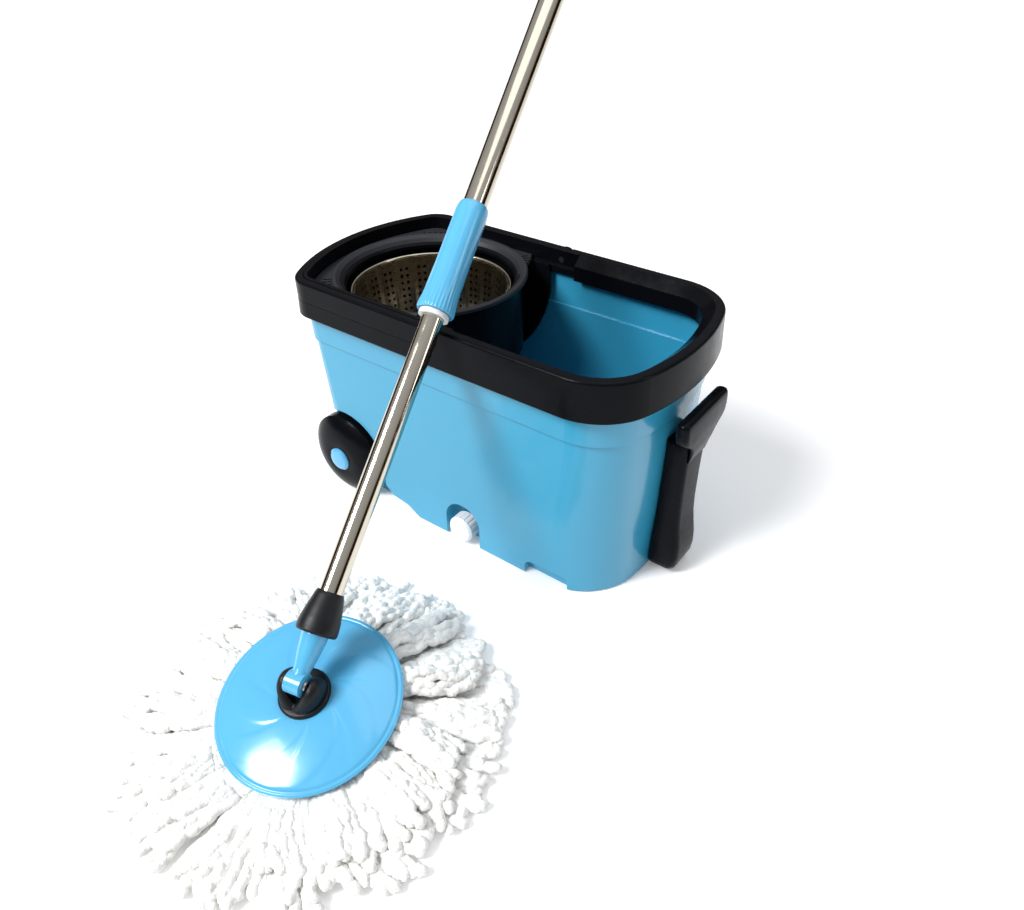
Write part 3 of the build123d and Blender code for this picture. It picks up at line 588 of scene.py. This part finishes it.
def pile_top(angle, radius):
    """Top of the heap of strands at an angle and radius from the head's middle."""
    share = min(max((radius - plate_radius) / 0.10, 0.0), 1.0)
    start = edge_height(angle) - under_plate
    return start * (1 - share) ** 1.5 + (0.036 - 0.020 * share) * (1 - (1 - share) ** 1.5)


def wander(seed, x):
    """A smooth wander between -1 and 1 along x."""
    return (math.sin(x * 2.3 + seed * 5.1) * 0.5 + math.sin(x * 5.7 + seed * 9.7) * 0.3
            + math.sin(x * 11.9 + seed * 3.3) * 0.2)


def strand(angle, reach, bend, across, layer, seed):
    """One strand's vertices and faces: a downy tube from under the plate out to its free end."""
    vertices, faces, line = [], [], []
    for i in range(strand_rings + 1):
        share = i / strand_rings
        radius = yarn_start + (reach - yarn_start) * share
        loose = 0.35 + 0.65 * share
        turn = (angle + bend * share ** 2 + across * loose * yarn_spacing / radius
                + 0.030 * share * wander(seed, share * 4))
        top = pile_top(turn, radius) if radius > plate_radius else edge_height(turn, radius) - under_plate
        lift = layer + 0.10 * wander(seed + 3, share * 5)
        low = yarn_radius * 1.1
        height = max(low, low + (top - 2 * low) * lift)
        if radius < plate_radius + 0.006:
            height = max(min(height, edge_height(turn, radius) - 0.0035 - yarn_radius), low)
        line.append(Vector((head_centre.x + radius * math.cos(turn),
                            head_centre.y + radius * math.sin(turn), height)))
    for i, point in enumerate(line):
        ahead = (line[min(i + 1, strand_rings)] - line[max(i - 1, 0)]).normalized()
        side = ahead.cross(Vector((0, 0, 1))).normalized()
        up = side.cross(ahead)
        share = i / strand_rings
        girth = yarn_radius * (0.85 + 0.3 * share) * (1 + 0.07 * math.sin(share * 34 + seed))
        end = strand_rings - i
        girth *= (0.25, 0.7, 0.92)[end] if end < 3 else 1.0
        for k in range(strand_sides):
            around = 2 * math.pi * (k + 0.5 * (i % 2)) / strand_sides
            tuft_out = girth * (1 + random.uniform(-0.10, 0.11))
            spot = point + side * (tuft_out * math.cos(around)) + up * (tuft_out * math.sin(around) * 0.9)
            spot.z = max(spot.z, 0.0004)
            vertices.append(spot)
    for i in range(strand_rings):
        for k in range(strand_sides):
            a, b = i * strand_sides + k, i * strand_sides + (k + 1) % strand_sides
            faces.append((a, a + strand_sides, b + strand_sides, b))
    faces.append(tuple(range(strand_sides)))
    faces.append(tuple(strand_rings * strand_sides + k for k in reversed(range(strand_sides))))
    return vertices, faces


strand_layers = [([], []) for _ in range(4)]
for lock in range(lock_count):
    lock_angle = 2 * math.pi * (lock + random.uniform(-0.25, 0.25)) / lock_count
    level = lock % 4
    lock_reach = (0.183, 0.168, 0.176, 0.158)[level] * (1 + 0.05 * math.cos(lock_angle - 1.9))
    lock_reach += random.uniform(-0.007, 0.007)
    lock_bend = random.uniform(-0.16, 0.16)
    lock_layer = (0.1, 0.6, 0.35, 0.95)[level]
    for i in range(strands_per_lock):
        made_vertices, made_faces = strand(
            lock_angle, lock_reach + random.uniform(-0.010, 0.006), lock_bend + random.uniform(-0.03, 0.03),
            (i - 3) / 2, lock_layer + 0.14 * (1 - abs(i - 3) / 2) + random.uniform(-0.06, 0.06),
            random.uniform(0, 20))
        layer_vertices, layer_faces = strand_layers[level]
        start = len(layer_vertices)
        layer_vertices += made_vertices
        layer_faces += [tuple(start + v for v in face) for face in made_faces]
for number, (layer_vertices, layer_faces) in enumerate(strand_layers):
    strands = mesh_piece(f"strand_layer_{number + 1}", layer_vertices, layer_faces, chenille)
    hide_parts("mop_strands")
    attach(strands, "mop_head")

# ==== Shaft ====
# Two polished stainless tubes, the upper sliding over the lower; a blue grip sleeve with a
# ribbed flare turns on the upper tube over a white lock bush.

# polished stainless tube: a mirror with a faint lengthwise grain and a warm cast
polished_tube, tube_shader = surface("polished stainless tube")
tube_place = node(polished_tube, "ShaderNodeTexCoord").outputs["Object"]
tube_marks = node(polished_tube, "ShaderNodeTexNoise", {"Vector": tube_place, "Scale": 1000 / 14.0,
                                                         "Detail": 4.0})
tube_gloss = node(polished_tube, "ShaderNodeMapRange", {"Value": tube_marks.outputs["Fac"], "From Min": 0.35,
                                                        "From Max": 0.7, "To Min": 0.07, "To Max": 0.16})
feed(polished_tube, tube_shader, {"Base Color": linear("#CDC5B6"), "Metallic": 1.0,
                                  "Roughness": tube_gloss.outputs["Result"]})
dress(polished_tube, "lower_tube", "upper_tube")

grip_start, grip_end = 0.361, 0.478
grip_ribs = 30
rib_depth = 0.0007
flare_height = 0.030
seam_rise = 0.0005
seam_turn = 0.6
seam_sharpness = 200
grip_profile = [(0.0130, grip_start + 0.003), (0.0156, grip_start + 0.003), (0.0156, grip_start),
                (0.0180, grip_start), (0.0186, grip_start + 0.0012), (0.0185, grip_start + 0.005),
                (0.0179, grip_start + 0.010), (0.0172, grip_start + 0.018), (0.0167, grip_start + 0.028),
                (0.0163, grip_start + 0.045), (0.0161, grip_start + 0.070), (0.0160, grip_end - 0.010),
                (0.0158, grip_end - 0.005), (0.0150, grip_end - 0.0012), (0.0140, grip_end),
                (0.0130, grip_end - 0.0005)]


def grip_ribbing(radius, height, angle, step):
    """Ribs round the flared lower end and two shallow lengthwise parting ridges."""
    if 4 <= step <= 8:
        flare = 1 - (height - grip_start) / flare_height
        radius -= rib_depth * max(flare, 0) * (0.5 + 0.5 * math.cos(grip_ribs * angle))
    if 4 <= step <= 12:
        seam = math.cos(angle - seam_turn)
        radius += seam_rise * max(0.0, seam) ** seam_sharpness + seam_rise * max(0.0, -seam) ** seam_sharpness
    return radius, height


grip = turned_piece("grip_shell", shaft_frame, grip_profile, head_blue_abs, segments=240, shape=grip_ribbing)
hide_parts("grip_sleeve")
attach(grip, "grip")
